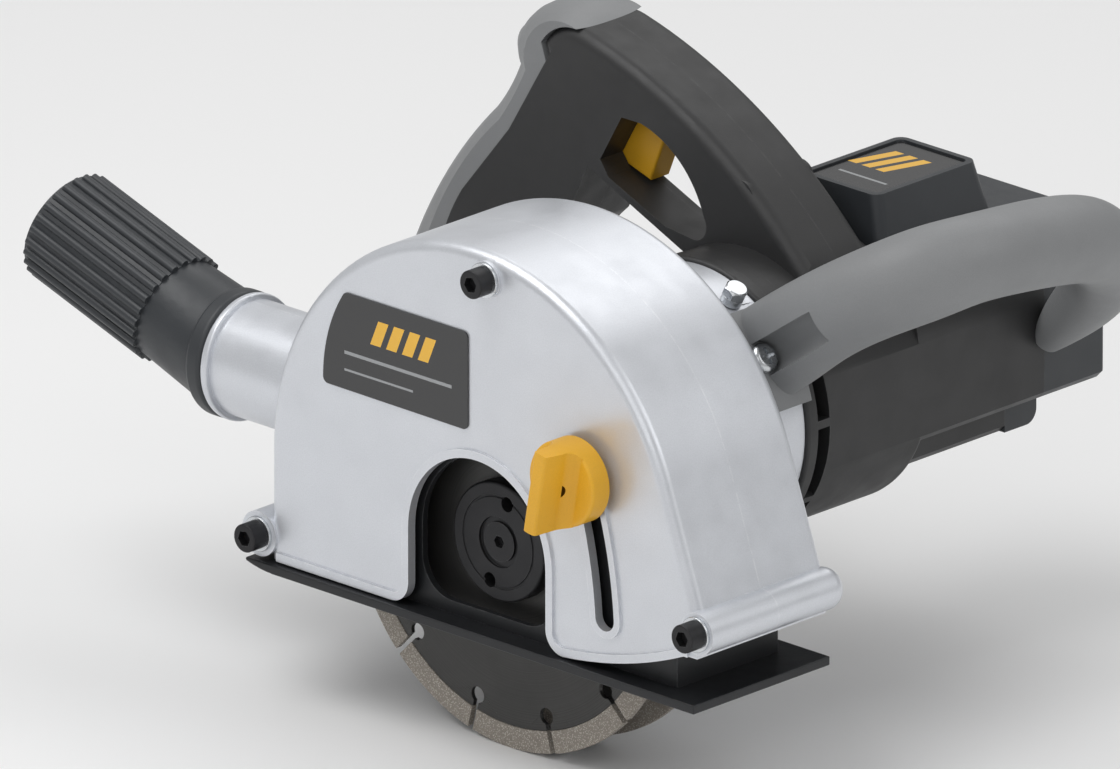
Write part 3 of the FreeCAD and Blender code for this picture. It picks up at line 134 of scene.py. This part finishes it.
def put(node, socket, value):
    """Set an input, or link it when the value is another node's output."""
    target = node.inputs[socket]
    if isinstance(value, bpy.types.NodeSocket):
        node.id_data.links.new(value, target)
    elif isinstance(value, tuple) and len(value) == 3 and target.type == "RGBA":
        target.default_value = (*value, 1.0)
    else:
        target.default_value = value


def made(tree, kind, output, inputs, **settings):
    """Add a node, fill its inputs and return one of its outputs."""
    node = tree.nodes.new(kind)
    for name, value in settings.items():
        setattr(node, name, value)
    for name, value in inputs.items():
        put(node, name, value)
    return node.outputs[output]


def place(tree):
    return made(tree, "ShaderNodeTexCoord", "Object", {})


def noise(tree, scale, detail=3.0, roughness=0.55, vector=None):
    inputs = {"Vector": vector or place(tree), "Scale": scale, "Detail": detail, "Roughness": roughness}
    return made(tree, "ShaderNodeTexNoise", "Fac", inputs)


def calc(tree, operation, first, second=0.0):
    return made(tree, "ShaderNodeMath", 0, {0: first, 1: second}, operation=operation)


def spread(tree, value, low, high, to_low=0.0, to_high=1.0):
    inputs = {"Value": value, "From Min": low, "From Max": high, "To Min": to_low, "To Max": to_high}
    return made(tree, "ShaderNodeMapRange", "Result", inputs)


def blend_colours(tree, factor, first, second):
    node = tree.nodes.new("ShaderNodeMix")
    node.data_type = "RGBA"
    put(node, 0, factor)
    put(node, 6, first)
    put(node, 7, second)
    return node.outputs[2]


def edge_mask(tree, radius, start=0.97, full=0.80):
    """1 along edges, 0 on open surface, broken up by noise."""
    rounded = made(tree, "ShaderNodeBevel", "Normal", {"Radius": radius}, samples=4)
    straight = made(tree, "ShaderNodeNewGeometry", "Normal", {})
    agree = made(tree, "ShaderNodeVectorMath", "Value", {0: rounded, 1: straight}, operation="DOT_PRODUCT")
    mask = spread(tree, agree, start, full)
    broken = spread(tree, noise(tree, 320.0, detail=4.0), 0.38, 0.62)
    return calc(tree, "MULTIPLY", mask, broken)


def bump(tree, height, distance, strength=1.0, normal=None):
    inputs = {"Height": height, "Distance": distance, "Strength": strength}
    if normal is not None:
        inputs["Normal"] = normal
    return made(tree, "ShaderNodeBump", "Normal", inputs)


def shade(colour, factor):
    return tuple(min(1.0, c * factor) for c in colour)


def moulded(name, colour, roughness, grain, depth, metallic=0.0, mottle=0.10, specular=0.5, wear=None,
            wear_radius=0.0009, coat=0.0):
    """A coated, cast or moulded surface: drifting tone, fine grain, uneven gloss and rubbed edges."""
    material, tree, shader = new_material(name)
    drift = noise(tree, 28.0, detail=4.0)
    fine = noise(tree, grain, detail=3.0)
    base = blend_colours(tree, spread(tree, drift, 0.3, 0.7), shade(colour, 1 - mottle),
                         shade(colour, 1 + mottle))
    speckled = blend_colours(tree, spread(tree, fine, 0.35, 0.75, 0.0, 0.5), base, shade(colour, 0.82))
    if wear is None:
        put(shader, "Base Color", speckled)
    else:
        rubbed = calc(tree, "MULTIPLY", edge_mask(tree, wear_radius), wear[1])
        put(shader, "Base Color", blend_colours(tree, rubbed, speckled, wear[0]))
    gloss = noise(tree, 90.0, detail=3.0)
    put(shader, "Roughness", spread(tree, gloss, 0.3, 0.7, roughness - 0.06, roughness + 0.06))
    put(shader, "Metallic", metallic)
    put(shader, "Specular IOR Level", specular)
    put(shader, "Coat Weight", coat)
    put(shader, "Coat Roughness", 0.25)
    put(shader, "Normal", bump(tree, fine, depth))
    return material


def turned(name, colour, roughness, centre, pitch, metallic=1.0, depth=0.000008, spots=0.12):
    """Metal with fine rings round an axis parallel to Y, as turning and surface grinding leave."""
    material, tree, shader = new_material(name)
    moved = made(tree, "ShaderNodeVectorMath", "Vector", {0: place(tree), 1: tuple(-c for c in centre)},
                 operation="ADD")
    across_axis = (1.0, 0.0, 1.0)
    flat = made(tree, "ShaderNodeVectorMath", "Vector", {0: moved, 1: across_axis}, operation="MULTIPLY")
    radius = made(tree, "ShaderNodeVectorMath", "Value", {0: flat}, operation="LENGTH")
    turn = calc(tree, "MULTIPLY", radius, pitch)
    ring_inputs = {"W": turn, "Scale": 1.0, "Detail": 4.0}
    rings = made(tree, "ShaderNodeTexNoise", "Fac", ring_inputs, noise_dimensions="1D")
    stain = noise(tree, 45.0, detail=5.0)
    tone = blend_colours(tree, spread(tree, stain, 0.3, 0.7), shade(colour, 1 - spots),
                         shade(colour, 1 + spots))
    ringed = blend_colours(tree, spread(tree, rings, 0.35, 0.75, 0.0, 0.6), tone, shade(colour, 0.72))
    put(shader, "Base Color", ringed)
    put(shader, "Roughness", spread(tree, rings, 0.3, 0.7, roughness - 0.07, roughness + 0.09))
    put(shader, "Metallic", metallic)
    put(shader, "Normal", bump(tree, rings, depth))
    return material


def sintered(name):
    """Diamond segment: pale grit in a grey-brown metal bond."""
    material, tree, shader = new_material(name)
    cells = tree.nodes.new("ShaderNodeTexVoronoi")
    put(cells, "Vector", place(tree))
    put(cells, "Scale", 1500.0)
    grit = spread(tree, cells.outputs["Distance"], 0.15, 0.45)
    patch = noise(tree, 500.0, detail=4.0)
    bond = blend_colours(tree, patch, (0.20, 0.175, 0.15), (0.40, 0.365, 0.32))
    put(shader, "Base Color", blend_colours(tree, grit, (0.62, 0.58, 0.52), bond))
    put(shader, "Roughness", spread(tree, patch, 0.3, 0.7, 0.55, 0.8))
    put(shader, "Metallic", 0.35)
    put(shader, "Normal", bump(tree, grit, 0.00008, 0.8))
    return material


def wound(name):
    """Enamelled winding: fine parallel wires."""
    material, tree, shader = new_material(name)
    wires = tree.nodes.new("ShaderNodeTexWave")
    put(wires, "Vector", place(tree))
    put(wires, "Scale", 260.0)
    put(wires, "Distortion", 1.5)
    lines = wires.outputs["Fac"]
    put(shader, "Base Color", blend_colours(tree, lines, (0.30, 0.11, 0.04), (0.72, 0.32, 0.14)))
    put(shader, "Metallic", 0.8)
    put(shader, "Roughness", spread(tree, noise(tree, 300.0), 0.3, 0.7, 0.28, 0.42))
    put(shader, "Normal", bump(tree, lines, 0.0002))
    return material


def between(tree, value, low, high):
    """1 where the value lies inside a range."""
    offset = calc(tree, "ABSOLUTE", calc(tree, "SUBTRACT", value, (low + high) / 2.0))
    return calc(tree, "LESS_THAN", offset, (high - low) / 2.0)


def printed(name, upward, marks):
    """Black glossy film; each plain mark is (colour, lean, across range, up range) in mm."""
    material, tree, shader = new_material(name)
    parts = tree.nodes.new("ShaderNodeSeparateXYZ")
    put(parts, "Vector", place(tree))
    up = calc(tree, "MULTIPLY", parts.outputs[upward], 1000.0)
    across = calc(tree, "MULTIPLY", parts.outputs["X"], 1000.0)
    fine = noise(tree, 900.0)
    colour = blend_colours(tree, noise(tree, 40.0), (0.005, 0.005, 0.006), (0.008, 0.008, 0.009))
    for ink, lean, across_range, up_range in marks:
        leaned = calc(tree, "SUBTRACT", across, calc(tree, "MULTIPLY", up, lean))
        mask = calc(tree, "MULTIPLY", between(tree, leaned, *across_range), between(tree, up, *up_range))
        colour = blend_colours(tree, mask, colour, ink)
    put(shader, "Base Color", colour)
    put(shader, "Roughness", spread(tree, noise(tree, 60.0), 0.3, 0.7, 0.17, 0.26))
    put(shader, "Coat Weight", 0.6)
    put(shader, "Coat Roughness", 0.15)
    put(shader, "Normal", bump(tree, fine, 0.000004))
    return material


YELLOW_INK = (0.84, 0.46, 0.02)
GREY_INK = (0.30, 0.31, 0.32)


def front_marks():
    """Four leaning bars over a thin line, left of the plate's middle."""
    marks = []
    for k in range(4):
        start = -84.0 + 7.4 * k
        marks.append((YELLOW_INK, 0.42, (start - 5.0, start - 0.2), (93.0, 102.0)))
    marks.append((GREY_INK, 0.0, (-62.0, -12.0), (86.6, 87.8)))
    marks.append((GREY_INK, 0.0, (-62.0, -30.0), (80.6, 81.4)))
    return marks


def top_marks():
    marks = []
    for k in range(3):
        start = -46.0 + 6.4 * k
        marks.append((YELLOW_INK, 0.30, (start, start + 4.0), (150.0, 168.0)))
    marks.append((GREY_INK, 0.0, (3.0, 25.0), (141.0, 142.2)))
    return marks


def make_finishes():
    return {
        "cast_metal": moulded("cast_metal", (0.70, 0.72, 0.76), 0.36, 2300.0, 0.000022,
                              metallic=0.55, mottle=0.03, wear=((0.93, 0.94, 0.96), 0.7), coat=0.15),
        "black_steel": moulded("black_steel", (0.028, 0.028, 0.030), 0.42, 1800.0, 0.000012, metallic=0.6,
                               wear=((0.22, 0.22, 0.22), 0.5), wear_radius=0.0004),
        "zinc_steel": moulded("zinc_steel", (0.66, 0.68, 0.70), 0.24, 1600.0, 0.000008,
                              metallic=1.0, mottle=0.12),
        "label_black": printed("label_black", "Z", front_marks()),
        "label_top": printed("label_top", "Y", top_marks()),
        "sole_black": moulded("sole_black", (0.016, 0.017, 0.019), 0.38, 1500.0, 0.00003, metallic=0.2,
                              wear=((0.16, 0.165, 0.17), 0.6), wear_radius=0.0006),
        "yellow_plastic": moulded("yellow_plastic", (0.80, 0.42, 0.018), 0.42, 2600.0, 0.000012, mottle=0.05),
        "blade_steel": turned("blade_steel", (0.075, 0.074, 0.072), 0.40, SPINDLE, 2600.0, metallic=0.75),
        "diamond_segment": sintered("diamond_segment"),
        "machined_steel": turned("machined_steel", (0.50, 0.50, 0.52), 0.30, MOTOR, 5200.0),
        "copper": wound("copper"),
        "black_plastic": moulded("black_plastic", (0.026, 0.026, 0.0265), 0.48, 2600.0, 0.00003, mottle=0.10,
                                 wear=((0.085, 0.085, 0.085), 0.55)),
        "slate_plastic": moulded("slate_plastic", (0.033, 0.0365, 0.041), 0.44, 2400.0, 0.000025, mottle=0.10,
                                 wear=((0.10, 0.105, 0.11), 0.5)),
        "black_rubber": moulded("black_rubber", (0.015, 0.015, 0.015), 0.7, 1800.0, 0.00004),
        "grey_grip": moulded("grey_grip", (0.235, 0.240, 0.245), 0.52, 3000.0, 0.00002, mottle=0.05),
        "felt": moulded("felt", (0.22, 0.21, 0.19), 0.95, 1500.0, 0.0002, mottle=0.2),
        "carbon": moulded("carbon", (0.02, 0.02, 0.02), 0.6, 2600.0, 0.00002),
    }


# ---- carried-over parts ---------------------------------------------------------------------
# Edge rounding in mm for the parts that show; the rest keep DEFAULT_ROUND.
DEFAULT_ROUND = 0.25
EDGE_ROUND = {
    "guard_cover": 0.5, "guard_rear": 0.5, "gear_housing": 0.6, "motor_housing": 0.6, "rear_cap": 0.8,
    "top_box": 0.8, "handle_front_shell": 0.8, "handle_rear_shell": 0.8,
    "sole_plate": 0.5, "shoe_bracket": 0.5, "depth_knob": 0.5,
    "dust_adapter": 0.4, "trigger": 0.4, "bail_handle": 0.8, "soft_grip": 1.0, "guard_screws": 0.3,
}
SHARP_DEG = 32.0


def clear_imported_normals(obj):
    bpy.context.view_layer.objects.active = obj
    if obj.data.has_custom_normals:
        bpy.ops.mesh.customdata_custom_splitnormals_clear()
    obj.data.polygons.foreach_set("use_smooth", [True] * len(obj.data.polygons))


def soften(obj, width_mm):
    """Join the shading seams of a carried-over part and round its edges."""
    clear_imported_normals(obj)
    weld = obj.modifiers.new("weld", "WELD")
    weld.merge_threshold = 0.000005
    rounding = obj.modifiers.new("rounding", "BEVEL")
    rounding.width = width_mm * MM
    rounding.segments = 2
    rounding.limit_method = "ANGLE"
    rounding.angle_limit = math.radians(SHARP_DEG)
    rounding.use_clamp_overlap = True
    shading = obj.modifiers.new("shading", "WEIGHTED_NORMAL")
    shading.keep_sharp = False
    shading.weight = 60


# Parts whose finish differs from the rest of their material slot.
OWN_FINISH = {"top_label": "label_top", "spindle_shaft": "black_steel", "arbor_sleeve": "black_steel"}


def finish_frame(finishes):
    for part in frame["record"]["subparts"]:
        obj = NODES[part["node"]]
        obj.data.materials.clear()
        finish = OWN_FINISH.get(part["node"], part["material_slot"])
        obj.data.materials.append(finishes[finish])
        soften(obj, EDGE_ROUND.get(part["node"], DEFAULT_ROUND))


add_camera()
add_world()
for softbox in SOFTBOXES:
    add_softbox(*softbox)
add_floor()
FINISHES = make_finishes()
finish_frame(FINISHES)
